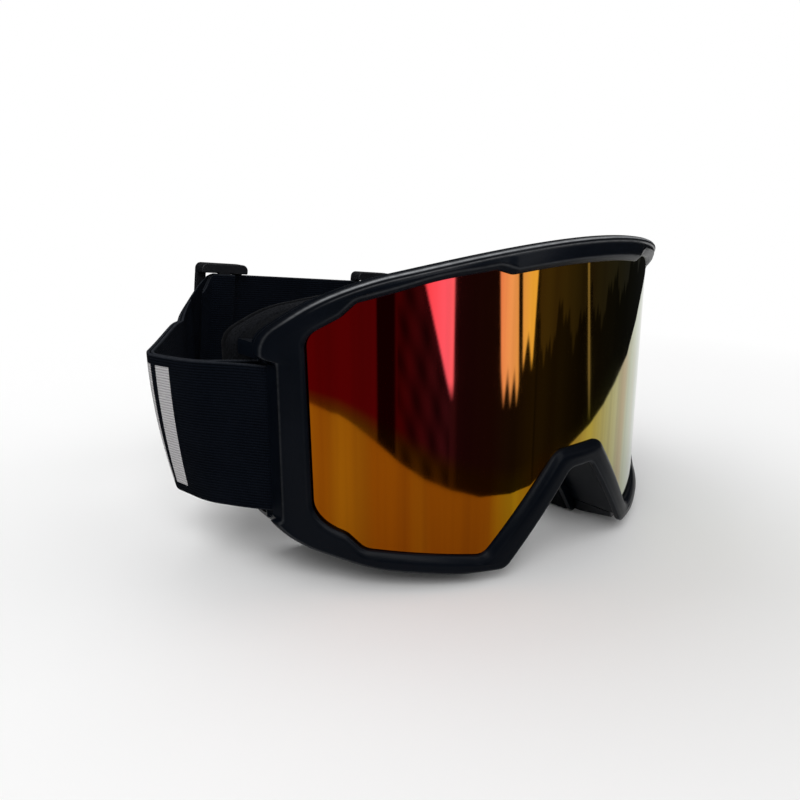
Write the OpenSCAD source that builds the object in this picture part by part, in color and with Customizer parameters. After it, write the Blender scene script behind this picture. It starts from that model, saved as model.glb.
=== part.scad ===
// Ski goggles: a moulded frame that holds a double cylindrical lens in a groove, layered face foam,
// and an elastic strap that turns round a bar in each wing and runs through two sliders at the back.
// X is across the face, Y runs from the lens to the back of the head, Z is up. Millimetres.

/* [Frame] */
// Half width of the wall that carries the face foam
wall_half_w = 81.3; // [76:0.1:86]
// Width of each wing outside the wall, where the strap is held
wing_w = 12.1; // [11.5:0.1:14]
// Height of the rim from its lowest edge to the brow
rim_h = 109; // [100:0.5:118]
// How far the rim clears the surface that the foam stands on
rim_lift = 4.5; // [2:0.5:8]
// How far the rim stands in front of the lens
rim_proud = 3; // [1.5:0.1:4]
// Depth of the rim behind the front of the lens
rim_back = 3.5; // [3:0.1:5]
// Step round the rim from its front to the part behind the lens
rim_step = 1.6; // [1:0.1:1.8]
// Radius of the brow line
brow_r = 225; // [180:5:300]
// Height of the rim over the lens at the brow
brow_band = 6.2; // [5:0.1:8]
// Height of the plain plate at the middle of the brow
plate_band = 8.6; // [7:0.1:11]
// Width of that plate
plate_w = 61; // [50:1:70]
// Width of the rim beside the lens
side_band = 11; // [9.5:0.1:13]
// Height of the rim under the lens
cheek_band = 5.5; // [4.5:0.1:7]
// Width of the nose gap at the bottom
nose_w = 61.8; // [54:0.2:68]
// Width of the nose gap at the top
nose_top_w = 11.2; // [8:0.2:16]
// Height of the nose gap
nose_h = 31.5; // [26:0.5:36]
// Width of the rim along the nose
nose_band = 8.6; // [7:0.1:10]
// Inset of the wall behind the rim at the nose
wall_inset = 1.6; // [1.2:0.1:2]
// Thickness of the wall
wall_t = 2; // [1.6:0.1:2.6]
// Thickness of the face flange
flange_t = 2.2; // [1.8:0.1:3]
// Width of the face flange
flange_w = 11; // [9:0.5:14]

/* [Lens] */
// Radius of the front of the lens
lens_r = 98; // [94:1:106]
// Thickness of the outer lens
lens_t = 1.2; // [1:0.1:1.8]
// Thickness of the spacer between the two lenses
gasket_t = 2.6; // [2:0.1:3.2]
// Width of the spacer
gasket_w = 5; // [4:0.5:6]
// Thickness of the inner lens
inner_t = 0.8; // [0.6:0.1:1.2]
// How far the lens reaches into the groove
lens_tuck = 2.2; // [1.5:0.1:2.6]

/* [Foam] */
// Thickness of the firm foam on the flange
base_foam_t = 9; // [6:0.5:12]
// Thickness of the soft foam on it
soft_foam_t = 9; // [6:0.5:12]
// Thickness of the fleece that meets the face
fleece_t = 2; // [1.5:0.1:3]
// Width of the foam ring
foam_w = 13; // [12:0.5:16]
// Thickness of the open foam over the vents
vent_foam_t = 3; // [2:0.5:4]

/* [Strap] */
// Width of the strap
strap_w = 50; // [40:1:52]
// Thickness of one ply of the strap
strap_t = 1.2; // [1:0.1:1.5]
// Distance of the strap's back behind the lens
strap_back_y = 160; // [150:1:190]
// Height of the middle of the strap at the frame's bars
bar_z = 48.8; // [46:0.2:52]
// Height of the middle of the strap at the back
strap_back_z = 58.8; // [50:0.2:66]
// Slope of the strap across the back
strap_tilt = 7; // [0:0.5:10]
// Radius of the bars in the wings
bar_r = 2.5; // [2:0.1:2.8]
// Width of a slider along the strap
slider_w = 22; // [21:0.2:24]
// Distance of the left slider from the middle
slider_left_x = 54; // [40:0.5:54]
// Distance of the right slider from the middle
slider_right_x = 28.5; // [27:0.5:54]

/* [Hidden] */
$fn = 96;

// Clearances
glue_gap = 0.05;
lens_gap = 0.1;
strap_gap = 0.3;
loop_gap = 0.2;
past = 1;

// Degrees between the points of a rounded corner, the longest step along a curve and the tightest
// radius that an inset leaves
arc_step = 9;
run_step = 8;
least_r = 0.4;

// Front view of the rim, half of it: where the brow bends, the temple, the cheek and the feet
half_w = wall_half_w + wing_w;
rim_top = rim_lift + rim_h;
brow_fall = 16;
temple_fall = 45;
cheek_z = 2.8;
nose_r = 5;
rim_side = [half_w, half_w - 17.1, half_w - 24, half_w - 47.4];
rim_radii = [50, 12, 20, 40];
rim_rise = 22;

// The face side is lower than the brow and narrower than the wings, and stands flat on its feet; the
// wall between the two meets it inside its edge and follows the rim along the nose
face_half_w = wall_half_w + 4.7;
face_top = rim_top - 12;
face_side = [face_half_w, face_half_w - 9.7, face_half_w - 16, face_half_w - 22];
face_radii = [22, 11, 11, 14];
face_rise = 46;
face_nose = -2;
wall_out = wall_half_w + wall_inset;
nose_foot_w = 6;
wall_side = [wall_out, wall_out - 9.2, wall_out - 12.5, wall_out - 24];
wall_radii = [14, 9, 9, 14];
flange_inset = 0.5;

// Plan of the lens and of the face: an arc with straight wings, and an arc
wing_angle = 50;
wing_run = 60;
plan_back = 130;
face_r = 100;
face_y = 24;
lens_stack = lens_t + gasket_t + inner_t;

// Vents through the wall: seven over the brow, two under each cheek
vent_w = 12;
vent_l = 8;
vent_step = 17;
vent_r = 2.5;
vent_deep = 32;
vent_low = 14;
bottom_vents = [half_w - 48.4, half_w - 33.4];

// Places of the strap's bar and its bends, on the right side of the plan
loop_r = bar_r + loop_gap + strap_t / 2;
pocket_room = 1;
pocket_r = loop_r + strap_t / 2 + pocket_room;
bar_x = wall_half_w + pocket_r + pocket_room;
bar_back = 3.1;
bar_y = lens_plan_y(bar_x, rim_back) + bar_back;
notch_x = bar_x + 2.7;
notch_room = 2;
lug_t = 5;
lug_back = 9;
strap_heading = 60.2;
strap_bulge = [bar_x + 16.8, bar_y + 22.4];
strap_turn = [bar_x + 22.3, bar_y + 46];
strap_bend_x = 70.5;
strap_bend_r = 6;
strap_straight_x = 66;
strap_turn_r = 14;
strap_bulge_r = 50;
strap_lean = 6;
strap_sag = 1.5;
rise_run = 26;

// Slider: rails past the strap's edges, and bars on both sides of it
rail_h = 4;
side_bar_w = 4.6;
mid_bar_w = 5.4;
bar_t = 2;
slider_r = 2.5;
grip_w = 3;
grip_t = 0.5;
grip_half = 15;
grip_step = 13;

// Depth of the whole part, so that the origin lies under its middle
rear_y = strap_back_y + strap_t / 2 + strap_gap + bar_t;
mid_y = (rear_y - rim_proud) / 2;

// Two-dimensional helpers: rounded corners are [x, z, radius], in clockwise order
function unit(v) = v / norm(v);
function flat(c) = [c.x, c.y];

// Points of the arc that rounds corner c between its neighbours a and b
function corner_arc(a, c, b) =
  let (
    u = unit(flat(a) - flat(c)),
    v = unit(flat(b) - flat(c)),
    half = acos(max(-1, min(1, u * v))) / 2,
    turn = 180 - 2 * half,
    side = sign(u.y * v.x - u.x * v.y),
    o = flat(c) + unit(u + v) * c.z / sin(half),
    w = flat(c) + u * c.z / tan(half) - o,
    steps = max(1, ceil(turn / arc_step), ceil(turn * PI / 180 * c.z / run_step))
  )
  [for (i = [0:steps]) let (t = side * turn * i / steps)
    o + [w.x * cos(t) - w.y * sin(t), w.x * sin(t) + w.y * cos(t)]];

function rounded(c) = [for (i = [0:len(c) - 1])
  each corner_arc(c[(i + len(c) - 1) % len(c)], c[i], c[(i + 1) % len(c)])];

function rounded_run(c) = concat([flat(c[0])],
  [for (i = [1:len(c) - 2]) each corner_arc(c[i - 1], c[i], c[i + 1])], [flat(c[len(c) - 1])]);

// Corner moved inward by d with its radius, on a clockwise outline
function inset_corner(a, c, b, d) =
  let (
    p = unit(flat(c) - flat(a)),
    q = unit(flat(b) - flat(c)),
    n = [p.y, -p.x],
    m = [q.y, -q.x],
    at = flat(c) + d * (n + m) / (1 + n * m),
    outward = cross(p, q) < 0
  )
  [at.x, at.y, max(least_r, outward ? c.z - d : c.z + d)];

function inset(c, d) = [for (i = [0:len(c) - 1])
  inset_corner(c[(i + len(c) - 1) % len(c)], c[i], c[(i + 1) % len(c)], d)];

function both_sides(half) = concat(half,
  [for (i = [len(half) - 1:-1:0]) [-half[i].x, half[i].y, half[i].z]]);

// Half width of the nose gap at a height, with its sides moved out by d
nose_slope = atan2(nose_h, (nose_w - nose_top_w) / 2);
nose_top = rim_lift + nose_h;
function nose_x(z, d) = nose_w / 2 - (z - rim_lift) / tan(nose_slope) + d / sin(nose_slope);

// Outline of the rim, the wall, the face or the spacer, from the brow round the wing and the foot to
// the nose. The side gives the places of the wing, the temple, the cheek and the foot, and the radii
// those of the temple, of the wing's two corners and of the other two; nose moves its sides out
function shell_corners(side, top, bottom, radii, rise, nose, arch) =
  let (
    brow_x = brow_r * tan(brow_fall / 2),
    temple_z = top - (side[1] - brow_x) * tan(brow_fall),
    room = (side[1] - brow_x) / cos(brow_fall) - brow_x,
    temple_bend = min(radii[0], 0.95 * room / tan((temple_fall - brow_fall) / 2)),
    cheek = bottom + cheek_z
  )
  both_sides([
    [brow_x, top, brow_r],
    [side[1], temple_z, temple_bend],
    [side[0], temple_z - (side[0] - side[1]) * tan(temple_fall), radii[1]],
    [side[0], cheek + (side[0] - side[2]) * tan(rise), radii[2]],
    [side[2], cheek, radii[3]],
    [side[3], bottom, radii[3]],
    [nose_x(bottom, nose), bottom, nose_r],
    [nose_x(arch, nose), arch, nose_r]
  ]);

rim_corners = shell_corners(rim_side, rim_top, rim_lift, rim_radii, rim_rise, 0, nose_top);
face_corners = shell_corners(face_side, face_top, 0, face_radii, face_rise, face_nose, nose_top);
wall_corners = inset(shell_corners(wall_side, face_top, rim_lift, wall_radii, face_rise, 0, nose_top),
  wall_inset);

// Opening in front of the lens: a plate at the brow, shoulders above and below the temple, the nose.
// Each pair is a distance in from the side of the opening and a distance down from the brow, or up
// from the rim's lowest edge
function brow_z(x) = rim_top - brow_r + sqrt(brow_r * brow_r - x * x);
plate_end = 5;
plate_r = brow_r - plate_band;
plate_angle = asin(plate_w / 2 / brow_r);
brow_bend = [30.2, 11.5];
shoulder_top = [10.9, 18.6];
shoulder = [7.5, 23.2];
temple_top = [0, 29.6];
temple_low = [0.7, 18.5];
low_shoulder = [7.8, 14.6];
low_cheek = [11.8, cheek_band + 3.8];
arch_band = 0.83 * nose_band;
open_x = half_w - side_band;
open_nose_x = nose_w / 2 + nose_band / sin(nose_slope) - cheek_band / tan(nose_slope);
open_nose_z = nose_top + arch_band;
open_arch_x = open_nose_x - (open_nose_z - rim_lift - cheek_band) / tan(nose_slope);

function from_brow(p, r) = [open_x - p.x, rim_top - p.y, r];
function from_foot(p, r) = [open_x - p.x, rim_lift + p.y, r];
open_corners = both_sides([
  [plate_r * tan(plate_angle / 2), rim_top - plate_band, 0.98 * plate_r],
  [plate_w / 2, brow_z(plate_w / 2) - plate_band, 3],
  [plate_w / 2 + plate_end, brow_z(plate_w / 2 + plate_end) - brow_band, 3],
  from_brow(brow_bend, 60),
  from_brow(shoulder_top, 3.5),
  from_brow(shoulder, 5),
  from_brow(temple_top, 7),
  from_foot(temple_low, 11),
  from_foot(low_shoulder, 5),
  from_foot(low_cheek, 4),
  [open_nose_x, rim_lift + cheek_band, 4.5],
  [open_arch_x, open_nose_z, 7]
]);

// Window inside the spacer between the lenses, its width in from the wall, the foot and the nose
gasket_in = strap_gap + gasket_w;
gasket_half_w = wall_half_w - wall_t - gasket_in;
gasket_side = [gasket_half_w, gasket_half_w - 9.2, gasket_half_w - 10, gasket_half_w - 16];
gasket_radii = [14, 9, 9, 8];
gasket_corners = shell_corners(gasket_side, face_top - wall_inset - wall_t - gasket_in,
  rim_lift + cheek_band + gasket_in, gasket_radii, face_rise, nose_band + gasket_in,
  open_nose_z + gasket_in);

// Plan curves: where the lens surface moved back by n, and the face, lie at a given x
function lens_plan_y(x, n) =
  let (r = lens_r - n, edge = r * sin(wing_angle))
  abs(x) < edge ? lens_r - sqrt(r * r - x * x)
    : lens_r - r * cos(wing_angle) + (abs(x) - edge) * tan(wing_angle);
function face_plan_y(x) = face_y + face_r - sqrt(face_r * face_r - x * x);

module outline(corners) {
  polygon(rounded(corners));
}

module ring(outer, inner) {
  difference() {
    outline(outer);
    outline(inner);
  }
}

// Carries a front view through the whole depth
module through_depth() {
  translate([0, plan_back, 0]) rotate([90, 0, 0]) linear_extrude(plan_back + 20) children();
}

// Carries a plan through the whole height
module through_height() {
  translate([0, 0, -past]) linear_extrude(rim_top + 2 * past) children();
}

// Plan of everything behind the lens surface moved back by n: a sector of a disc, and the wings
module behind_lens(n) {
  r = lens_r - n;
  edge = [r * sin(wing_angle), lens_r - r * cos(wing_angle)];
  tip = edge + wing_run * [cos(wing_angle), sin(wing_angle)];
  sector = wing_angle + arc_step;
  intersection() {
    translate([0, lens_r]) circle(r);
    translate([0, lens_r]) polygon([[0, 0], 2 * r * [sin(sector), -cos(sector)],
      2 * r * [-sin(sector), -cos(sector)]]);
  }
  polygon([[0, lens_r], edge, tip, [tip.x, plan_back], [-tip.x, plan_back], [-tip.x, tip.y],
    [-edge.x, edge.y]]);
}

// Plan of everything behind the face surface moved back by d
module behind_face(d) {
  translate([0, face_y + face_r + d]) circle(face_r);
}

// A shell of the lens surface, cut to a front view
module lens_shell(front, back) {
  intersection() {
    through_depth() children();
    through_height() difference() {
      behind_lens(front);
      behind_lens(back);
    }
  }
}

// A layer on the face surface, cut to a front view
module face_layer(front, back) {
  intersection() {
    through_depth() children();
    through_height() difference() {
      behind_face(front);
      behind_face(back);
    }
  }
}

// What lies between the rim and the face, cut to a front view
module wall_layer(front, back) {
  intersection() {
    through_depth() children();
    through_height() difference() {
      behind_lens(front);
      behind_face(back);
    }
  }
}

// Everything stands over the middle of the part's depth
module placed() {
  translate([0, -mid_y, 0]) children();
}

// Front view of the space inside the wall and the opening, moved in by d
module inside(d) {
  intersection() {
    outline(inset(open_corners, d));
    outline(inset(wall_corners, wall_t + d));
  }
}

// Feet of the wall beside the nose: their lower edge falls from the rim to the face's feet
module nose_foot() {
  start = lens_plan_y(nose_w / 2, 0);
  inner = nose_x(0, wall_inset);
  outer = inner + nose_foot_w;
  difference() {
    wall_layer(rim_back - past, 0) polygon([[inner, 0], [nose_x(rim_lift, wall_inset), rim_lift],
      [nose_x(rim_lift + wall_t, wall_inset), rim_lift + wall_t], [outer, rim_lift + wall_t], [outer, 0]]);
    rotate([90, 0, 90]) linear_extrude(half_w) polygon([[start - past, rim_lift], [start, rim_lift],
      [face_plan_y(nose_w / 2) - flange_t, 0], [start - past, 0]]);
  }
}

module each_side() {
  children();
  mirror([1, 0, 0]) children();
}

// Lugs above and below the strap that carry the bar, as front views
module lug_area() {
  low = bar_z - strap_w / 2 - notch_room;
  high = bar_z + strap_w / 2 + notch_room;
  intersection() {
    outline(inset(rim_corners, rim_step));
    union() {
      translate([wall_half_w - wall_t, high]) square([half_w, lug_t]);
      translate([wall_half_w - wall_t, low - lug_t]) square([half_w, lug_t]);
    }
  }
}

// The strap shows in a notch of the wing and turns in a round pocket behind the rim
module strap_room() {
  low = bar_z - strap_w / 2 - notch_room;
  tall = strap_w + 2 * notch_room;
  through_depth() outline([[notch_x, low + tall, 2], [notch_x + 20, low + tall, 2],
    [notch_x + 20, low, 2], [notch_x, low, 2]]);
  translate([bar_x, bar_y, low]) cylinder(r = pocket_r, h = tall);
}

module vent(x, z0, z1) {
  y = (lens_plan_y(x, rim_back) + face_plan_y(x) - flange_t) / 2;
  translate([x, y, z0]) linear_extrude(z1 - z0) outline([[-vent_w / 2, vent_l / 2, vent_r],
    [vent_w / 2, vent_l / 2, vent_r], [vent_w / 2, -vent_l / 2, vent_r],
    [-vent_w / 2, -vent_l / 2, vent_r]]);
}

module frame() {
  color("#20222b") placed() {
    difference() {
      union() {
        lens_shell(-rim_proud, 0) outline(rim_corners);
        lens_shell(-past, rim_back) outline(inset(rim_corners, rim_step));
        wall_layer(rim_back - past, 0) outline(wall_corners);
        each_side() nose_foot();
        face_layer(-flange_t, 0) outline(inset(face_corners, flange_inset));
        each_side() lens_shell(rim_back - past, lug_back) lug_area();
      }
      lens_shell(-rim_proud - past, lens_t / 2) outline(open_corners);
      lens_shell(-lens_gap, lens_t + lens_gap) outline(inset(open_corners, -lens_tuck - lens_gap));
      wall_layer(lens_t, -flange_t) inside(0);
      wall_layer(rim_back, -flange_t) outline(inset(wall_corners, wall_t));
      face_layer(-flange_t - past, past) outline(inset(face_corners, flange_w));
      each_side() strap_room();
      for (i = [-3:3]) vent(i * vent_step, rim_top - vent_deep, rim_top + past);
      for (x = bottom_vents) each_side() vent(x, 0, rim_lift + vent_low);
    }
    each_side() translate([bar_x, bar_y, bar_z - strap_w / 2 - notch_room - past])
      cylinder(r = bar_r, h = strap_w + 2 * notch_room + 2 * past);
  }
}

module outer_lens() {
  color("#c8402a") placed() lens_shell(0, lens_t) outline(inset(open_corners, -lens_tuck));
}

module lens_gasket() {
  color("#15151a") placed() lens_shell(lens_t + glue_gap, lens_t + gasket_t - glue_gap) difference() {
    inside(strap_gap);
    outline(gasket_corners);
  }
}

module inner_lens() {
  color("#d9a44a") placed() lens_shell(lens_t + gasket_t, lens_stack)
    inside(strap_gap);
}

module vent_foam(from_x, to_x, from_z, to_z) {
  color("#3a3a40") placed() intersection() {
    wall_layer(lens_stack + strap_gap, -flange_t - glue_gap)
      ring(inset(wall_corners, wall_t + glue_gap), inset(wall_corners, wall_t + glue_gap + vent_foam_t));
    translate([from_x, -20, from_z]) cube([to_x - from_x, plan_back, to_z - from_z]);
  }
}

module top_vent_foam() {
  vent_foam(-3 * vent_step - vent_w, 3 * vent_step + vent_w, rim_top - vent_deep, rim_top);
}

module bottom_vent_foam_right() {
  vent_foam(bottom_vents[0] - vent_w * 0.6, bottom_vents[1] + vent_w * 0.6, 0, rim_lift + vent_low);
}

module bottom_vent_foam_left() {
  mirror([1, 0, 0]) bottom_vent_foam_right();
}

// One layer of the face padding, between two distances behind the flange
module padding(front, back) {
  placed() face_layer(front, back) ring(face_corners, inset(face_corners, foam_w));
}

module face_foam_base() {
  color("#2b2b30") padding(glue_gap, base_foam_t);
}

module face_foam_soft() {
  color("#45454c") padding(base_foam_t + glue_gap, base_foam_t + soft_foam_t);
}

module face_fleece() {
  depth = base_foam_t + soft_foam_t;
  color("#17171b") padding(depth + glue_gap, depth + fleece_t);
}

// Strap: a ribbon stood on a run of plan points, with its middle at a height for each point
function run_length(p, i) = i == 0 ? 0 : run_length(p, i - 1) + norm(p[i] - p[i - 1]);
function run_side(p, i) =
  let (t = unit(p[min(i + 1, len(p) - 1)] - p[max(i - 1, 0)]))
  [t.y, -t.x];
function ease(t) = t * t * (3 - 2 * t);
function fine_run(p) = concat([p[0]], [for (i = [1:len(p) - 1])
  let (steps = max(1, ceil(norm(p[i] - p[i - 1]) / run_step)))
  for (k = [1:steps]) p[i - 1] + (p[i] - p[i - 1]) * k / steps]);

// The ribbon's lower edge follows a run of its own where the strap leans. Its two faces are split into
// triangles along the same diagonals, so that neighbouring plies stay clear of each other
module ribbon(p, low, z) {
  n = len(p);
  points = [for (i = [0:n - 1]) let (s = run_side(p, i) * strap_t / 2, l = run_side(low, i) * strap_t / 2)
    each [concat(low[i] + l, z[i] - strap_w / 2), concat(p[i] + s, z[i] + strap_w / 2),
      concat(p[i] - s, z[i] + strap_w / 2), concat(low[i] - l, z[i] - strap_w / 2)]];
  sides = [for (i = [0:n - 2], k = [0:3]) let (a = 4 * i + k, b = 4 * i + (k + 1) % 4) each k == 2
    ? [[a, b, a + 4], [b, b + 4, a + 4]] : [[a, b, b + 4], [a, b + 4, a + 4]]];
  last = 4 * (n - 1);
  polyhedron(points, concat(sides, [[3, 2, 1], [3, 1, 0]],
    [[last, last + 1, last + 2], [last, last + 2, last + 3]]));
}

// Plan of one side of the strap: round the front of the bar, out along the head and in to the back
bar_out = [sin(strap_heading), -cos(strap_heading)];
loop_run = [for (a = [-160:20:0]) [bar_x, bar_y]
  + loop_r * [cos(a + strap_heading - 90), sin(a + strap_heading - 90)]];
outer_run = fine_run(rounded_run([concat([bar_x, bar_y] + loop_r * bar_out, 0),
  concat(strap_bulge, strap_bulge_r), concat(strap_turn, strap_turn_r),
  [strap_bend_x, strap_back_y, strap_bend_r], [strap_straight_x, strap_back_y, 0]]));

// Lower edge of the strap: it leans in where the strap turns, and stands straight again at the back
outer_length = run_length(outer_run, len(outer_run) - 1);
lean_length = outer_length - rise_run / 2;
function half_way(i) = pow(sin(180 * min(1, run_length(outer_run, i) / lean_length)), 2);
low_run = [for (i = [0:len(outer_run) - 1])
  outer_run[i] - run_side(outer_run, i) * strap_lean * half_way(i)];

// The ply that returns to the slider leaves the bar's other side and closes up to the outer ply
ply_step = strap_t + strap_gap;
close_up = 26;
function return_run(run) = [for (i = [0:len(run) - 1])
  let (t = min(1, run_length(outer_run, i) / close_up))
  run[i] - run_side(run, i) * (2 * loop_r + (ply_step - 2 * loop_r) * ease(t))];
function looped(run) = concat(loop_run, [for (i = [1:len(run) - 1]) run[i]]);

// Height of the strap's middle across the back, and along one side: it sags a little on the way and
// rises to the back at the end. The run is as long as the side, or longer by the loop at its start
function back_z(x) = strap_back_z - x * tan(strap_tilt);
function side_z(i, hand) =
  let (t = max(0, 1 - (outer_length - run_length(outer_run, i)) / rise_run))
  bar_z - strap_sag * half_way(i) + (back_z(hand * strap_straight_x) - bar_z) * ease(t);

function handed(run, hand) = [for (p = run) [p.x * hand, p.y]];

module strap_side(run, low, hand) {
  more = len(run) - len(outer_run);
  z = [for (i = [0:len(run) - 1]) side_z(max(0, i - more), hand)];
  color("#26272e") placed() ribbon(handed(run, hand), handed(low, hand), z);
}

module strap_right() {
  strap_side(looped(outer_run), looped(low_run), 1);
}

module strap_left() {
  strap_side(looped(outer_run), looped(low_run), -1);
}

module strap_return_right() {
  strap_side(return_run(outer_run), return_run(low_run), 1);
}

module strap_return_left() {
  strap_side(return_run(outer_run), return_run(low_run), -1);
}

// The back of the strap and what runs on it lie in a frame of their own, tilted with the strap
module on_back(x) {
  placed() translate([0, strap_back_y, strap_back_z]) rotate([0, strap_tilt, 0]) translate([x, 0, 0])
    children();
}

module strap_back() {
  x = strap_straight_x;
  run = [[x, strap_back_y], [-x, strap_back_y]];
  color("#2c2d35") placed() ribbon(run, run, [back_z(x), back_z(-x)]);
}

// Faces of the slider's bars on each side of the strap: the middle bar leaves room for the sewn end
side_bar_y = strap_t / 2 + strap_gap;
mid_bar_y = -ply_step - strap_t / 2 - loop_gap;
slider_h = strap_w + 2 * strap_gap + 2 * rail_h;

// A block of the slider between two depths, with the corners of its outline rounded
module slider_block(from_y, to_y) {
  x = slider_w / 2;
  z = slider_h / 2;
  translate([0, to_y, 0]) rotate([90, 0, 0]) linear_extrude(to_y - from_y) outline([[-x, z, slider_r],
    [x, z, slider_r], [x, -z, slider_r], [-x, -z, slider_r]]);
}

module slider() {
  deep = mid_bar_y - bar_t;
  difference() {
    slider_block(deep, side_bar_y + bar_t);
    cube([slider_w + past, 3 * slider_w, strap_w + 2 * strap_gap], center = true);
  }
  difference() {
    slider_block(side_bar_y, side_bar_y + bar_t);
    cube([slider_w - 2 * side_bar_w, 3 * slider_w, strap_w + 2 * strap_gap], center = true);
  }
  translate([-mid_bar_w / 2, deep, -slider_h / 2 + past])
    cube([mid_bar_w, bar_t, slider_h - 2 * past]);
}

module slider_left() {
  color("#1b1b1f") on_back(-slider_left_x) slider();
}

module slider_right() {
  color("#1b1b1f") on_back(slider_right_x) slider();
}

// The strap's end: along the strap to the slider's middle bar, round it, and back to where it is sewn
end_turn_r = bar_t / 2 + loop_gap + strap_t / 2;
sewn_run = 7;
function end_run(x) =
  let (
    start = strap_straight_x - strap_w / 2 * tan(strap_tilt) - loop_gap,
    far = x - mid_bar_w / 2,
    near = x + mid_bar_w / 2,
    mid = mid_bar_y - bar_t / 2
  )
  concat([[start, -ply_step], [(start + far) / 2, -ply_step]],
    [for (a = [90:30:270]) [far + end_turn_r * cos(a), mid + end_turn_r * sin(a)]],
    [[near, mid - end_turn_r], [near + sewn_run / 2, -2 * ply_step], [near + sewn_run, -2 * ply_step]]);

module strap_end(x, hand) {
  run = handed(end_run(x), hand);
  color("#26272e") on_back(0) ribbon(run, run, [for (p = run) 0]);
}

module strap_end_left() {
  strap_end(slider_left_x, -1);
}

module strap_end_right() {
  strap_end(slider_right_x, 1);
}

module grip_lines() {
  color("#6a6a72") on_back(0) for (i = [-1:1])
    translate([0, -strap_t / 2 - grip_t / 2, i * grip_step])
      cube([2 * grip_half, grip_t, grip_w], center = true);
}

frame();
outer_lens();
lens_gasket();
inner_lens();
top_vent_foam();
bottom_vent_foam_left();
bottom_vent_foam_right();
face_foam_base();
face_foam_soft();
face_fleece();
strap_left();
strap_right();
strap_back();
strap_return_left();
strap_return_right();
strap_end_left();
strap_end_right();
slider_left();
slider_right();
grip_lines();
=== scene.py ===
import math

import bmesh
import bpy
import numpy as np
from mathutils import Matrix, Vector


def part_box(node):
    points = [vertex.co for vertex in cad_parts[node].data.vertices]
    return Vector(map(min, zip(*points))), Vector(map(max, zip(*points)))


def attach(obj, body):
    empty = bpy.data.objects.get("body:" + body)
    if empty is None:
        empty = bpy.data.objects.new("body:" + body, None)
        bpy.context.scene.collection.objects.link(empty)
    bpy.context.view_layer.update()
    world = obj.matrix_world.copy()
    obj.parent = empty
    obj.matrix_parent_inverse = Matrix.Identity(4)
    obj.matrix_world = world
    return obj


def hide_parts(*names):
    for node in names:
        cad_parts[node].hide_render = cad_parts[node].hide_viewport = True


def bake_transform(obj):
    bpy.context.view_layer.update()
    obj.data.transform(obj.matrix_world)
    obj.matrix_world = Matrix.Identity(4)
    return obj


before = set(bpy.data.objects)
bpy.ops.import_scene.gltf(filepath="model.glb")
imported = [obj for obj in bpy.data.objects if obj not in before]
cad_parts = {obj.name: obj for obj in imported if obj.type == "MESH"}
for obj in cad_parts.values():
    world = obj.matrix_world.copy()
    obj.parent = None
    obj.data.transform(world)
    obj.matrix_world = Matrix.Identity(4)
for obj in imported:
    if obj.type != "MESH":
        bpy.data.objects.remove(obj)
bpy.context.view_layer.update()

# Camera: it stands to the left of the goggles, a little above the brow, and looks down at the lens.
# The pieces further down are laid out in millimetres from the middle of the lens, which lies at front, in metres.
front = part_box("outer_lens")[0][1]
lens = bpy.data.cameras.new("camera")
lens.sensor_width = 36
lens.lens = 37.77
lens.clip_start = 0.01
camera = bpy.data.objects.new("camera", lens)
camera.location = (-0.2194, front - 0.17575, 0.13471)
camera.rotation_euler = [math.radians(angle) for angle in (74.514, 0.03, -38.709)]
bpy.context.scene.collection.objects.link(camera)
bpy.context.scene.camera = camera

# Floor: a wide pale sheet under the goggles, matt and very slightly uneven.
# It is one square that takes the shadow, and runs out to the white of the room.


def in_metres(points):
    """Places millimetres from the middle of the lens in the frame, in metres, one row for each point."""
    return np.asarray(points, dtype=float).reshape(-1, 3) * 0.001 + (0, front, 0)


def add_mesh(name, points, *face_groups):
    """Smooth mesh of points in millimetres, joined by groups of rows of corner numbers."""
    faces = [corners for group in face_groups for corners in np.asarray(group).tolist()]
    mesh = bpy.data.meshes.new(name)
    mesh.from_pydata(in_metres(points).tolist(), [], faces)
    mesh.shade_smooth()
    piece = bpy.data.objects.new(name, mesh)
    bpy.context.scene.collection.objects.link(piece)
    return piece


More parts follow.
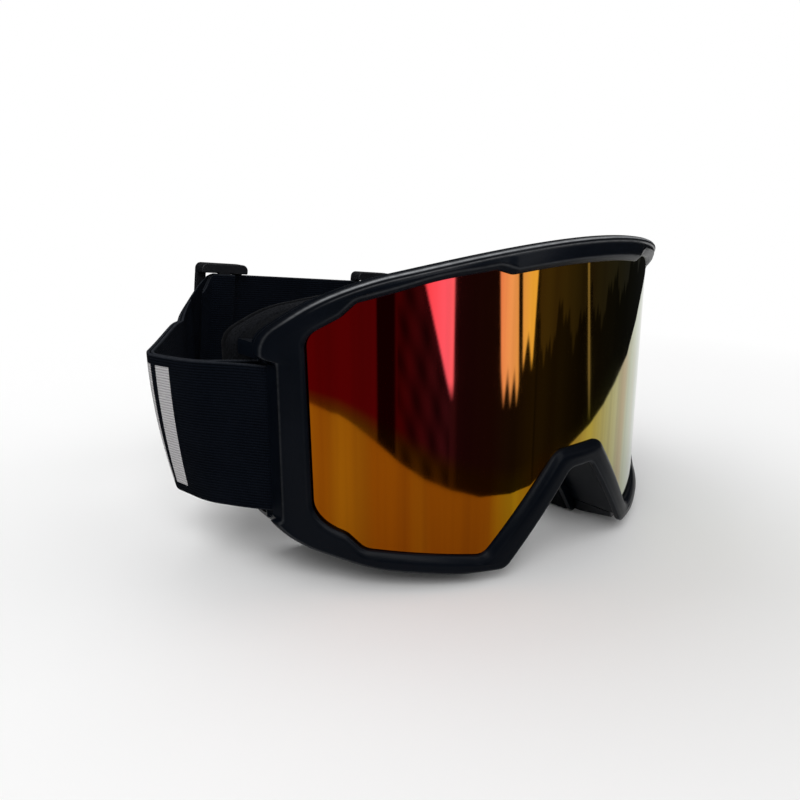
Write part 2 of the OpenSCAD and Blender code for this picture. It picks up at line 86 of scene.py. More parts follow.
class Finish:
    """A material whose Principled shader takes its inputs from a chain of texture nodes."""

    def __init__(self, name, **inputs):
        self.material = bpy.data.materials.new(name)
        self.material.use_nodes = True
        self.tree = self.material.node_tree
        self.shader = self.tree.nodes["Principled BSDF"]
        self.set(self.shader, inputs)

    def set(self, node, inputs):
        """Fills sockets by name, where _ stands for a space, or by n and a number, with a value or an output."""
        for key, value in inputs.items():
            numbered = key[0] == "n" and key[1:].isdigit()
            socket = node.inputs[int(key[1:]) if numbered else key.replace("_", " ")]
            if isinstance(value, bpy.types.NodeSocket):
                self.tree.links.new(value, socket)
            else:
                socket.default_value = value

    def node(self, kind, out=0, settings=None, **inputs):
        """A new node of that kind; gives its output."""
        node = self.tree.nodes.new("ShaderNode" + kind)
        for key, value in (settings or {}).items():
            setattr(node, key, value)
        self.set(node, inputs)
        return node.outputs[out]

    def ramp(self, value, *stops):
        """Colours that run through the stops (place, colour)."""
        node = self.tree.nodes.new("ShaderNodeValToRGB")
        steps = node.color_ramp.elements
        while len(steps) < len(stops):
            steps.new(0.5)
        for step, (place, colour) in zip(steps, stops):
            step.position = place
            step.color = (*colour, 1) if len(colour) == 3 else colour
        self.tree.links.new(value, node.inputs[0])
        return node.outputs[0]

    def tint(self, value, *stops):
        """Base colour that runs through the stops (place, colour) as the value grows."""
        self.set(self.shader, {"Base_Color": self.ramp(value, *stops)})

    def span(self, value, low, high, to_low=0.0, to_high=1.0):
        """The value's range from low to high, laid out from to_low to to_high and held at its ends."""
        return self.node("MapRange", Value=value, From_Min=low, From_Max=high, To_Min=to_low, To_Max=to_high)

    def mix(self, factor, a, b):
        """Colour a where the factor is 0 and b where it is 1."""
        node = self.tree.nodes.new("ShaderNodeMix")
        node.data_type = "RGBA"
        for socket, value in zip((node.inputs[0], node.inputs[6], node.inputs[7]), (factor, a, b)):
            if isinstance(value, bpy.types.NodeSocket):
                self.tree.links.new(value, socket)
            else:
                socket.default_value = (*value, 1) if isinstance(value, tuple) else value
        return node.outputs[2]

    def sum(self, kind, a, b):
        """Arithmetic on two values."""
        return self.node("Math", settings={"operation": kind}, n0=a, n1=b)

    def bump(self, height, strength, depth):
        """Raises the surface by a height pattern, to a depth in metres."""
        self.set(self.shader, {"Normal": self.node("Bump", Height=height, Strength=strength, Distance=depth)})

    def place(self, scale=(1, 1, 1)):
        """Object coordinates in metres, stretched by a scale along each axis."""
        return self.node("Mapping", Vector=self.node("TexCoord", out=3), Scale=scale)


floor_half = 9000
floor_corners = floor_half * np.array([(-1, -1, 0), (1, -1, 0), (1, 1, 0), (-1, 1, 0)])
floor = add_mesh("floor", floor_corners, [(0, 1, 2, 3)])
floor_paint = Finish("floor_paint", Roughness=0.9, Specular_IOR_Level=0.1)
floor_tone = floor_paint.node("TexNoise", Vector=floor_paint.place(), Scale=6, Detail=2)
floor_paint.tint(floor_tone, (0.3, (0.90, 0.90, 0.90)), (0.7, (0.92, 0.92, 0.92)))
far_off = floor_paint.node("VectorMath", out=1, settings={"operation": "LENGTH"}, n0=floor_paint.place())
far_off = floor_paint.span(far_off, 0.12, 0.42)
looks = floor_paint.node("LightPath"), floor_paint.node("LightPath", out=3), floor_paint.node("LightPath", out=6)
looked_at = floor_paint.sum("MAXIMUM", floor_paint.sum("MAXIMUM", looks[0], looks[1]), looks[2])
white = floor_paint.node("Emission", Color=(1, 1, 1, 1), Strength=1.0)
paper = floor_paint.node("MixShader", n0=floor_paint.sum("MULTIPLY", far_off, looked_at),
    n1=floor_paint.shader.outputs[0], n2=white)
floor_paint.tree.links.new(paper, floor_paint.tree.nodes["Material Output"].inputs["Surface"])
floor.data.materials.append(floor_paint.material)

# Light: the white room, one large soft lamp above on the left, a fill on the right and a strip over the back,
# which draws the line along the brow.
room = bpy.data.worlds.new("room")
room.use_nodes = True
bpy.context.scene.world = room
sky = room.node_tree.nodes["Background"]
path = room.node_tree.nodes.new("ShaderNodeLightPath")
seen = [room.node_tree.nodes.new("ShaderNodeMath") for _ in range(2)]
room_level = room.node_tree.nodes.new("ShaderNodeMapRange")
room_level.inputs["To Min"].default_value = 0.5
room_level.inputs["To Max"].default_value = 1.0
for node in seen:
    node.operation = "MAXIMUM"
room.node_tree.links.new(path.outputs["Is Camera Ray"], seen[0].inputs[0])
room.node_tree.links.new(path.outputs["Is Glossy Ray"], seen[0].inputs[1])
room.node_tree.links.new(seen[0].outputs[0], seen[1].inputs[0])
room.node_tree.links.new(path.outputs["Is Transmission Ray"], seen[1].inputs[1])
room.node_tree.links.new(seen[1].outputs[0], room_level.inputs["Value"])
room.node_tree.links.new(room_level.outputs[0], sky.inputs["Strength"])
sky.inputs["Color"].default_value = (1, 1, 1, 1)


def add_lamp(name, place, aim, width, height, power):
    """A rectangular lamp at a place, turned to a point, in metres and watts."""
    light = bpy.data.lights.new(name, "AREA")
    light.shape = "RECTANGLE"
    light.size = width
    light.size_y = height
    light.energy = power
    lamp = bpy.data.objects.new(name, light)
    away = np.array(place) - np.array(aim)
    lamp.location = place
    lamp.rotation_euler = (math.acos(away[2] / np.linalg.norm(away)), 0, math.atan2(away[0], -away[1]))
    bpy.context.scene.collection.objects.link(lamp)


add_lamp("key", (-0.55, -0.65, 0.9), (0, 0, 0.05), 0.7, 0.7, 5)
add_lamp("fill", (0.8, -0.5, 0.5), (0, 0, 0.05), 0.5, 0.8, 2)
add_lamp("back_strip", (-0.1, 0.55, 0.6), (0, 0, 0.1), 1.2, 0.15, 3)

# Studio flats: a dark curved board with lit slots stands close in front, so that the upper lens mirrors it, and the
# lower lens and its far side mirror the floor. Two more, behind and beside the left wing, keep the rim dark. Only
# gloss sees them.
flat_angle = np.array([-180, -150, -120, -100, -76, -74, -69.5, -61, -53, -45, -35.6, -22.8,
    -6.5, 6.5, 18, 29, 40, 52, 63, 74, 86.7, 98.3, 106.4, 120])
flat_reach = np.array([200, 190, 220, 265, 300, 274, 253, 211, 171, 143, 123, 106,
    101, 105, 121, 139, 159, 185, 222, 276, 357, 508, 667, 900])
turn, height = np.meshgrid(np.linspace(-180, 120, 901), np.linspace(0, 420, 211), indexing="ij")
reach = np.interp(turn, flat_angle, flat_reach)
flat_middle_y = 30
board_x, board_y = reach * np.sin(np.radians(turn)), flat_middle_y - reach * np.cos(np.radians(turn))
board = np.stack([board_x, board_y, height], axis=-1)


def grid_faces(rows, wide, wrap=False):
    """Corner numbers of the quads of a grid of points, each row so many points wide and closed if wrapped."""
    r, c = np.meshgrid(np.arange(rows - 1) * wide, np.arange(wide if wrap else wide - 1), indexing="ij")
    d = (c + 1) % wide
    return np.stack([r + c, r + d, r + wide + d, r + wide + c], axis=-1).reshape(-1, 4)


def add_values(piece, name, values):
    """One number for each point of a piece, for its material to read."""
    attribute = piece.data.attributes.new(name, "FLOAT", "POINT")
    attribute.data.foreach_set("value", np.asarray(values, dtype=np.float32).ravel())


def lit_slot(start, stop, sill, soft):
    """1 between two angles and above a sill, with soft edges."""
    edge_turn = 0.8
    between = np.clip((turn - start) / edge_turn, 0, 1) * np.clip((stop - turn) / edge_turn, 0, 1)
    return between * np.clip((height - sill) / soft, 0, 1)


flat = add_mesh("studio_flat", board, grid_faces(*turn.shape))
level_at = np.array([-180, -96, -82, -60.5, -60, -54.8, -54.2, -45.5, -34.5, -33,
    -16, -4, 7, 9, 26, 40, 60, 75, 120])
level_is = np.array([0.02, 0.02, 0.26, 0.24, 0.02, 0.02, 0.15, 0.13, 0.10, 0.04,
    0.035, 0.035, 0.05, 0.16, 0.12, 0.06, 0.05, 0.03, 0.03])
dark_top = 66 + 9 * np.sin(turn * 0.31) + 5 * np.sin(turn * 0.83 + 1) + 3 * np.sin(turn * 2.3)
shaded = np.where(turn > 7, 1 - 0.72 * np.clip((dark_top - height) / 3, 0, 1), 1)
mottled = 0.72 + 0.4 * np.sin(turn * 0.9 + height * 0.11) * np.sin(height * 0.2 + 1)
folds = np.where((turn > -54) & (turn < -36), mottled, 1)
slots = 4.0 * lit_slot(-36.5 - 0.2 * np.maximum(height - 42, 0), -34.6, 40 + 0.6 * (turn + 36), 8)
ragged, higher = 43 + 5 * np.sin(turn * 1.7), height - 42
slots = slots + 3.5 * lit_slot(-13.6 - 0.045 * higher, -2.9 - 0.05 * higher, ragged, 9)
ragged, higher = 58 + 6 * np.sin(turn * 1.1), height - 60
slots = slots + 3.3 * lit_slot(-2.1 - 0.05 * higher, 5.2 + 0.04 * higher, ragged, 6)
slots = slots + 0.9 * lit_slot(50.3 - 0.09 * height, 52.4 - 0.09 * height, 2, 30)
add_values(flat, "glow", np.interp(turn, level_at, level_is) * shaded * folds + slots)
board_paint = Finish("board_paint")
glow = board_paint.node("Attribute", out=2, settings={"attribute_name": "glow"})
board_light = board_paint.node("Emission", Strength=glow)
board_paint.tree.links.new(board_light, board_paint.tree.nodes["Material Output"].inputs["Surface"])
wide, tall = np.meshgrid(np.linspace(-900, 900, 61), np.linspace(60, 800, 41), indexing="ij")
rear = add_mesh("rear_flat", np.stack([wide, 420 + 0 * wide, tall], axis=-1), grid_faces(*wide.shape))
add_values(rear, "glow", 0.03 + 0.05 * tall / 800)
card_x, card_y = np.meshgrid(np.linspace(-420, -104, 41), np.linspace(40, 330, 41), indexing="ij")
beside = add_mesh("side_flat", np.stack([card_x, card_y, 1 + 0 * card_x], axis=-1), grid_faces(*card_x.shape))
add_values(beside, "glow", 0.03 + 0 * card_x)
for panel in (flat, rear, beside):
    panel.data.materials.append(board_paint.material)
    panel.visible_camera = panel.visible_diffuse = panel.visible_shadow = panel.visible_transmission = False

# Frame: one moulding of satin black-blue plastic. A rim with a rolled outer edge and a bevelled lip stands round
# the lens; the wall with its vents, the face flange and the strap bars behind it come from the solid model.
lens_r = 98.0
wing_angle = math.radians(50)
rim_half = np.array([(31.62, 113.5, 225), (76.3, 100.69, 50), (93.4, 83.59, 12), (93.4, 17.0, 20), (69.4, 7.3, 40),
    (46.0, 4.5, 40), (30.9, 4.5, 5), (5.6, 36.0, 5)])
opening_half = np.array([(14.73, 104.9, 212), (30.5, 102.82, 3), (35.5, 104.48, 3), (52.2, 102.0, 60),
    (71.5, 94.9, 3.5), (74.9, 90.3, 5), (82.4, 83.9, 7), (81.7, 23.0, 11), (74.6, 19.1, 5), (70.6, 13.8, 4),
    (37.51, 10.0, 4.5), (10.89, 43.14, 7)])
rim_marks = (2, 3, 6, 7)
opening_marks = (6, 7, 10, 11)
columns = (170, 70, 90, 50, 14)
bar_z = 48.8
notch_x = 89.9
notch_half = 27.0
roll_from, roll_to = 91, 105
highlight_from, highlight_to = 86, 102
plate_half, plate_low, plate_proud = 33.5, 95, 0.4
chamfer_rows = 6


def plan_y(x, n):
    """Depth of the lens surface moved back by n: an arc of the lens radius, then straight wings at its ends."""
    x = np.abs(x)
    r = lens_r - n
    arc_end = r * math.sin(wing_angle)
    arc = lens_r - np.sqrt(np.maximum(r * r - np.minimum(x, arc_end) ** 2, 0))
    return arc + np.maximum(x - arc_end, 0) * math.tan(wing_angle)


def corner_arcs(corners, steps=24):
    """Arc of each corner [x, z, radius] of a closed outline: it touches both sides at radius / tan(half angle)."""
    at = corners[:, :2]
    u = np.roll(at, 1, axis=0) - at
    v = np.roll(at, -1, axis=0) - at
    u /= np.linalg.norm(u, axis=1)[:, None]
    v /= np.linalg.norm(v, axis=1)[:, None]
    half = np.arccos(np.clip((u * v).sum(axis=1), -1, 1)) / 2
    middle = u + v
    middle /= np.linalg.norm(middle, axis=1)[:, None]
    centre = at + middle * (corners[:, 2] / np.sin(half))[:, None]
    arm = at + u * (corners[:, 2] / np.tan(half))[:, None] - centre
    side = np.sign(u[:, 1] * v[:, 0] - u[:, 0] * v[:, 1])
    t = (side * (math.pi - 2 * half))[:, None] * np.linspace(0, 1, steps)
    return centre[:, None] + np.stack([arm[:, :1] * np.cos(t) - arm[:, 1:] * np.sin(t),
        arm[:, :1] * np.sin(t) + arm[:, 1:] * np.cos(t)], axis=-1)


def both_sides(half):
    """Corners of the right half, then of the left half in mirror image, as one closed outline."""
    return np.concatenate([half, half[::-1] * (-1, 1, 1)])


def even_outline(half, marks, counts):
    """Closed outline with even points between its marked corners, so that two outlines match point for point."""
    arcs = corner_arcs(both_sides(half))[:len(half)]
    run = arcs.reshape(-1, 2)
    run = np.concatenate([[(0, run[0, 1])], run, [(0, run[-1, 1])]])
    length = np.concatenate([[0], np.cumsum(np.linalg.norm(np.diff(run, axis=0), axis=1))])
    steps = arcs.shape[1]
    stops = [0.0, *(length[1 + mark * steps + steps // 2] for mark in marks), length[-1]]
    spans = zip(stops, stops[1:], counts)
    where = np.concatenate([np.linspace(a, b, count, endpoint=False) for a, b, count in spans])
    right = np.stack([np.interp(where, length, run[:, 0]), np.interp(where, length, run[:, 1])], axis=1)
    end = np.array([[0, run[-1, 1]]])
    return np.concatenate([right, end, right[:0:-1] * (-1, 1)])


def inward(outline):
    """Unit normals of a clockwise outline that point into it."""
    along = np.roll(outline, -1, axis=0) - np.roll(outline, 1, axis=0)
    along /= np.linalg.norm(along, axis=1)[:, None]
    return np.stack([along[:, 1], -along[:, 0]], axis=1)


rim = even_outline(rim_half, rim_marks, columns)
opening = even_outline(opening_half, opening_marks, columns)
rim_in, opening_in = inward(rim), inward(opening)

# Section of the rim: distance in from the rim's edge, depth with the rolled edge of the brow and depth of the plain
# edge below it, then distance out from the opening and depth of the chamfer down to the lens
edge_section = np.array([(1.9, 2.4, 2.4), (1.75, 0.7, 0.7), (1.6, 0.3, 0.3), (1.35, 0.12, 0.12), (0.5, 0.05, 0.05),
    (0.16, -0.1, -0.1), (0.03, -0.4, -0.4), (0.0, -1.0, -1.0), (0.03, -2.0, -1.75), (0.18, -2.55, -2.2),
    (0.5, -2.9, -2.42), (0.9, -3.03, -2.53), (1.3, -3.0, -2.58), (1.6, -2.8, -2.6), (1.75, -2.62, -2.61),
    (1.95, -2.55, -2.62), (2.3, -2.62, -2.62)])
lip_section = np.array([(2.6, -2.52), (2.1, -2.4), (1.5, -2.05), (0.9, -1.62), (0.5, -1.3), (0.28, -1.05),
    (0.14, -0.75), (0.05, -0.3), (0.0, 0.2)])
edge_rows = rim + rim_in * edge_section[:, :1, None]
lip_rows = opening - opening_in * lip_section[:, :1, None]
held = np.clip((np.abs(edge_rows[..., 1] - bar_z) - notch_half) / 1.6, 0, 1)
room_for_strap = notch_x - edge_section[:, :1] + 5.0 * held * held * (3 - 2 * held)
edge_rows[..., 0] = np.sign(edge_rows[..., 0]) * np.minimum(np.abs(edge_rows[..., 0]), room_for_strap)
face_steps = np.linspace(0, 1, 8)[1:-1]
face_rows = edge_rows[-1] + (lip_rows[0] - edge_rows[-1]) * face_steps[:, None, None]
face_from, face_to, face_crown = edge_section[-1, 1], lip_section[0, 1], 0.12
face_depth = face_from + (face_to - face_from) * face_steps - face_crown * np.sin(math.pi * face_steps)
rim_rows = np.concatenate([edge_rows, face_rows, lip_rows])
rolled = np.clip((rim_rows[..., 1] - roll_from) / (roll_to - roll_from), 0, 1)
rolled_depth = np.concatenate([edge_section[:, 1], face_depth, lip_section[:, 1]])[:, None]
plain_depth = np.concatenate([edge_section[:, 2], face_depth, lip_section[:, 1]])[:, None]
rim_depth = plain_depth + (rolled_depth - plain_depth) * rolled

# The plain plate at the middle of the brow stands a little proud of the rest of the rim
on_plate = np.clip((plate_half - np.abs(rim_rows[..., 0])) / 2.5, 0, 1)
on_plate = on_plate * np.clip((rim_rows[..., 1] - plate_low) / 4, 0, 1)
in_face = np.zeros((len(rim_rows), 1))
in_face[len(edge_section) - 1:-chamfer_rows] = 1
rim_n = rim_depth - plate_proud * on_plate * in_face
rim_points = np.stack([rim_rows[..., 0], plan_y(rim_rows[..., 0], rim_n), rim_rows[..., 1]], axis=-1)
frame_rim = add_mesh("frame_rim", rim_points, grid_faces(*rim_rows.shape[:2], wrap=True))

# Painted highlights along three rows of the section: the edge, the inside of the roll and the chamfer, whose rows
# count from 10; most of it is at the brow, the top of the rim, where the light catches it
row_in = np.concatenate([edge_section[:, 0], np.full(len(face_steps), 9.0), 10 + lip_section[:, 0]])[:, None]
edge_highlight = np.exp(-((row_in - 0.5) / 0.2) ** 2)
roll_highlight = 0.5 * rolled * np.exp(-((row_in - 1.75) / 0.16) ** 2)
painted_highlight = (edge_highlight + roll_highlight) * (rim_depth < -2) + 0.1 * np.exp(-((row_in - 12.1) / 0.25) ** 2)
lit_at_brow = 0.08 + 0.92 * np.clip((rim_rows[..., 1] - highlight_from) / (highlight_to - highlight_from), 0, 1)
add_values(frame_rim, "painted_highlight", painted_highlight * lit_at_brow)

satin = Finish("frame_plastic", IOR=1.49, Specular_IOR_Level=0.06)
grain = satin.node("TexNoise", Vector=satin.place(), Scale=2600, Detail=2)
cloud = satin.node("TexNoise", Vector=satin.place(), Scale=45, Detail=4)
# The painted highlight lines mix the base colour towards pale grey, broken up by a fine noise
highlit = satin.node("Attribute", out=2, settings={"attribute_name": "painted_highlight"})
highlight_breakup = satin.node("TexNoise", Vector=satin.place((1, 1, 3)), Scale=320, Detail=4)
plain_black = satin.ramp(cloud, (0.3, (0.0012, 0.0022, 0.0044)), (0.7, (0.0019, 0.0032, 0.0060)))
highlit = satin.sum("MULTIPLY", highlit, satin.sum("ADD", highlight_breakup, 0.3))
satin.set(satin.shader, {"Base_Color": satin.mix(highlit, plain_black, (0.36, 0.37, 0.385)),
    "Roughness": satin.span(cloud, 0.0, 1.0, 0.26, 0.38)})
satin.bump(grain, 0.25, 0.00008)
frame_rim.data.materials.append(satin.material)


def even_normals(mesh, sharp):
    """Gives each corner of a triangle mesh the mean of the different directions that the faces round its point have
    within the sharp angle of its own, each direction counted once, so that thin triangles leave no streaks."""
    point = np.empty(len(mesh.loops), dtype=np.int64)
    mesh.loops.foreach_get("vertex_index", point)
    own = np.empty(len(mesh.polygons) * 3)
    mesh.polygons.foreach_get("normal", own)
    own = np.repeat(own.reshape(-1, 3), 3, axis=0)
    order = np.argsort(point, kind="stable")
    size = np.bincount(point)[point[order]]
    start = np.concatenate([[0], np.cumsum(np.bincount(point))])[point[order]]
    a = np.repeat(np.arange(len(order)), size)
    b = np.arange(len(a)) - np.repeat(np.cumsum(size) - size, size) + np.repeat(start, size)
    a, b = order[a], order[b]
    near = (own[a] * own[b]).sum(axis=1) > math.cos(sharp)
    a, b = a[near], b[near]
    key = np.column_stack([a, np.round(own[b] * 60).astype(np.int64)])
    first = np.unique(key, axis=0, return_index=True)[1]
    total = np.zeros_like(own)
    np.add.at(total, a[first], own[b[first]])
    total /= np.linalg.norm(total, axis=1)[:, None]
    mesh.normals_split_custom_set(total.tolist())


def copy_solid(name, node):
    """Merged and smooth copy of a CAD piece."""
    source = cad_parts[node]
    shape = bmesh.new()
    shape.from_mesh(source.data)
    bmesh.ops.transform(shape, matrix=source.matrix_world, verts=shape.verts)
    bmesh.ops.remove_doubles(shape, verts=shape.verts, dist=0.00001)
    mesh = bpy.data.meshes.new(name)
    shape.to_mesh(mesh)
    shape.free()
    mesh.shade_smooth()
    piece = bpy.data.objects.new(name, mesh)
    bpy.context.scene.collection.objects.link(piece)
    return piece


def points_of(piece):
    """Points of a piece in millimetres from the middle of the lens."""
    points = np.empty(len(piece.data.vertices) * 3)
    piece.data.vertices.foreach_get("co", points)
    return (points.reshape(-1, 3) - (0, front, 0)) * 1000


def keep_behind(piece, depth):
    """Leaves the triangles of a piece with a point more than a depth behind the lens surface, measured from the
    axis of its arc or, in the wings, square to them."""
    points, corners = points_of(piece), np.empty(len(piece.data.loops), dtype=np.int32)
    piece.data.loops.foreach_get("vertex_index", corners)
    x, y = np.abs(points[:, 0]), lens_r - points[:, 1]
    square = x * math.sin(wing_angle) + y * math.cos(wing_angle)
    behind = lens_r - np.where(np.arctan2(x, y) > wing_angle, square, np.hypot(x, y)) > depth
    triangles = corners.reshape(-1, 3)
    used, corners = np.unique(triangles[behind[triangles].any(axis=1)], return_inverse=True)
    piece.data.clear_geometry()
    piece.data.from_pydata(in_metres(points[used]).tolist(), [], corners.reshape(-1, 3).tolist())
    piece.data.shade_smooth()


sharp_angle = math.radians(28)
frame_shell = copy_solid("frame_shell", "frame")
keep_behind(frame_shell, 0.7)
even_normals(frame_shell.data, sharp_angle)
frame_shell.data.materials.append(satin.material)
for piece in (frame_rim, frame_shell):
    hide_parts("frame")
    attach(piece, "frame_body")

# Outer lens: a pane of polycarbonate bent to a cylinder, snapped into the frame's groove. Its front has a mirror
# coat that runs from red at one side of the brow to gold and pale green, with painted reflections in its colour:
# dark vertical streaks all over and lighter vertical patches low down. Its back is plain dark amber.
lens_t = 1.2
lens_tuck = 2.0
heart = np.array([0.0, 62.0])
spread = np.linspace(0, 1, 40)[1:]
lens_edge = opening - opening_in * lens_tuck


def lens_points(n):
    """Pane on the lens surface moved back by n: the edge drawn in towards the middle of the pane, in even steps."""
    flat_points = heart + (lens_edge - heart) * spread[:, None, None]
    flat_points = np.concatenate([heart[None], flat_points.reshape(-1, 2)])
    return np.stack([flat_points[:, 0], plan_y(flat_points[:, 0], n), flat_points[:, 1]], axis=1)


around = len(lens_edge)
ring_faces = grid_faces(len(spread), around, wrap=True) + 1
fan = np.stack([np.zeros(around, int), 1 + (np.arange(around) + 1) % around, 1 + np.arange(around)], axis=1)
pane = np.concatenate([lens_points(0.0), lens_points(lens_t)])
count = len(pane) // 2
outer = count - around + np.arange(around)
band = np.stack([outer, np.roll(outer, -1), np.roll(outer, -1) + count, outer + count], axis=1)
lens_pane = add_mesh("lens_pane", pane, ring_faces, fan, ring_faces[:, ::-1] + count, fan[:, ::-1] + count, band)
tilt = np.clip(np.arcsin(np.clip(pane[:, 0] / lens_r, -1, 1)), -wing_angle, wing_angle)
normals = np.stack([np.sin(tilt), -np.cos(tilt), np.zeros_like(tilt)], axis=1)
normals[count:] *= -1
lens_pane.data.normals_split_custom_set_from_vertices(normals.tolist())
coat_half = 85
add_values(lens_pane, "coat", (pane[:, 0] + coat_half) / (2 * coat_half))
turning = np.interp(pane[:, 0], (-85, -75, -50, -28, 0, 20), (66, 62, 44, 36, 50, 70))
add_values(lens_pane, "low", np.clip((turning + 3 - pane[:, 2]) / 6, 0, 1))

mirror = Finish("lens_coat", Metallic=1.0)
coat = mirror.node("Attribute", out=2, settings={"attribute_name": "coat"})
low = mirror.node("Attribute", out=2, settings={"attribute_name": "low"})
upper = mirror.ramp(coat, (0.0, (0.29, 0.0012, 0.0016)), (0.14, (0.27, 0.003, 0.004)), (0.21, (0.25, 0.024, 0.030)),
    (0.29, (0.23, 0.045, 0.016)), (0.325, (0.26, 0.095, 0.024)), (0.365, (0.26, 0.115, 0.010)),
    (0.50, (0.25, 0.14, 0.014)), (0.62, (0.31, 0.25, 0.06)), (0.76, (0.36, 0.41, 0.27)))
lower = mirror.ramp(coat, (0.0, (0.25, 0.060, 0.0012)), (0.29, (0.24, 0.060, 0.0012)), (0.34, (0.40, 0.20, 0.004)),
    (0.40, (0.30, 0.10, 0.003)), (0.54, (0.42, 0.31, 0.03)), (0.63, (0.38, 0.37, 0.14)), (0.76, (0.36, 0.42, 0.29)))
# Painted reflection: lighter vertical patches in the lower colours
painted_sheen = mirror.node("TexNoise", Vector=mirror.place((1, 1, 0.05)), Scale=70, Detail=1)
lower = mirror.mix(mirror.span(painted_sheen, 0.5, 0.75, 0.0, 0.5), lower, (0.36, 0.14, 0.004))
# Painted reflection: dark vertical streaks over the whole coat
dark_reflection_streak = mirror.node("TexNoise", Vector=mirror.place((1, 1, 0.02)), Scale=190, Detail=3)
whole = mirror.mix(low, upper, lower)
reflection_streaked = mirror.mix(mirror.span(dark_reflection_streak, 0.4, 0.75, 0.0, 0.3), whole, (0.06, 0.004, 0.002))
smear = mirror.node("TexNoise", Vector=mirror.place(), Scale=22, Detail=5)
mirror.set(mirror.shader, {"Base_Color": reflection_streaked, "Roughness": mirror.span(smear, 0.35, 0.75, 0.03, 0.085)})
amber = Finish("lens_back", Roughness=0.06, IOR=1.58)
amber_cloud = amber.node("TexNoise", Vector=amber.place(), Scale=18, Detail=3)
amber.tint(amber_cloud, (0.3, (0.045, 0.018, 0.007)), (0.7, (0.06, 0.026, 0.010)))
lens_pane.data.materials.append(mirror.material)
lens_pane.data.materials.append(amber.material)
one_side = len(ring_faces) + len(fan)
which = np.zeros(len(lens_pane.data.polygons), dtype=np.int32)
which[one_side:2 * one_side] = 1
lens_pane.data.polygons.foreach_set("material_index", which)
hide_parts("outer_lens")
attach(lens_pane, "frame_body")

# Spacer and inner lens: a ring of black foam rubber glued between the two panes, and a thin clear pane behind it.
# Both keep the shape of the solid model; the pane is a smooth copy of it.
rubber = Finish("spacer_rubber", Roughness=0.85)
pores = rubber.node("TexNoise", Vector=rubber.place(), Scale=1400, Detail=3)
rubber.tint(pores, (0.3, (0.010, 0.010, 0.012)), (0.7, (0.022, 0.022, 0.025)))
rubber.bump(pores, 0.5, 0.0002)
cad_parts["lens_gasket"].data.materials.clear()
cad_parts["lens_gasket"].data.materials.append(rubber.material)

inner_pane = copy_solid("inner_pane", "inner_lens")
even_normals(inner_pane.data, sharp_angle)
clear = Finish("inner_clear", Roughness=0.05, IOR=1.58)
haze = clear.node("TexNoise", Vector=clear.place(), Scale=30, Detail=4)
clear.tint(haze, (0.3, (0.075, 0.034, 0.012)), (0.7, (0.10, 0.048, 0.018)))
inner_pane.data.materials.append(clear.material)
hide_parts("inner_lens")
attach(inner_pane, "frame_body")

# Vent foam: strips of open-cell foam, 3 mm thick, stuck inside the wall over the vents at the brow and the cheeks.
# Each is the wall's outline moved in, cut to its stretch and carried from the lens to the flange.
wall_half = np.array([(31.62, 101.5, 225), (73.7, 89.43, 14), (82.9, 80.23, 9), (82.9, 20.24, 9), (70.4, 7.3, 14),
    (58.9, 4.5, 14), (30.9, 4.5, 5), (5.6, 36.0, 5)])
face_half = np.array([(31.62, 101.5, 225), (76.3, 88.69, 22), (86.0, 78.99, 11), (86.0, 19.37, 11), (70.0, 2.8, 14),
    (64.0, 0.0, 14), (31.95, 0.0, 5), (3.03, 36.0, 5)])
face_y, face_r, flange_t = 24.0, 100.0, 2.2
strip_lap, strip_round_across, strip_round_deep = 24, 0.3, 0.15
strip_outside, strip_inside, strip_front, strip_gap = 3.7, 6.6, 5.2, 0.3


def moved_in(corners, d):
    """Corners of a clockwise outline moved in by d along both sides' normals; round corners keep their centre."""
    at = corners[:, :2]
    p = at - np.roll(at, 1, axis=0)
    q = np.roll(at, -1, axis=0) - at
    p /= np.linalg.norm(p, axis=1)[:, None]
    q /= np.linalg.norm(q, axis=1)[:, None]
    n = np.stack([p[:, 1], -p[:, 0]], axis=1)
    m = np.stack([q[:, 1], -q[:, 0]], axis=1)
    turned = np.sign(p[:, 0] * q[:, 1] - p[:, 1] * q[:, 0])
    moved = at + d * (n + m) / (1 + (n * m).sum(axis=1))[:, None]
    return np.column_stack([moved, np.maximum(0.4, corners[:, 2] + turned * d)])


def moved_outline(half, d):
    """Even outline of half a set of corners, moved in by d."""
    whole = moved_in(both_sides(half), d)
    return even_outline(whole[:len(half)], rim_marks, columns)


def face_depth_at(x):
    """Depth of the face surface: an arc of the face radius."""
    return face_y + face_r - np.sqrt(face_r ** 2 - np.minimum(np.abs(x), 99) ** 2)


def squarish(count, round_across, round_deep):
    """Place across and place deep, from 0 to 1, of points round a squarish oval: powers of a cosine and a sine."""
    lap = np.linspace(0, 2 * math.pi, count, endpoint=False)
    across = 0.5 - 0.5 * np.sign(np.cos(lap)) * np.abs(np.cos(lap)) ** round_across
    return across, 0.5 + 0.5 * np.sign(np.sin(lap)) * np.abs(np.sin(lap)) ** round_deep


def face_out(piece):
    """Turns the faces of a closed piece outwards."""
    shape = bmesh.new()
    shape.from_mesh(piece.data)
    bmesh.ops.recalc_face_normals(shape, faces=shape.faces)
    shape.to_mesh(piece.data)
    shape.free()


def add_strip(name, outside, inside, start, stop):
    """Closed bar with rounded edges along two matching runs, between two depths given for each x."""
    across, deep = squarish(strip_lap, strip_round_across, strip_round_deep)
    flat_rows = outside[:, None] + (inside - outside)[:, None] * across[:, None]
    near, far = start(flat_rows[..., 0]), stop(flat_rows[..., 0])
    points = np.stack([flat_rows[..., 0], near + (far - near) * deep, flat_rows[..., 1]], axis=-1)
    cap = np.arange(strip_lap)
    caps = np.stack([cap[::-1], (len(outside) - 1) * strip_lap + cap])
    piece = add_mesh(name, points, grid_faces(len(outside), strip_lap, wrap=True), caps)
    face_out(piece)
    return piece


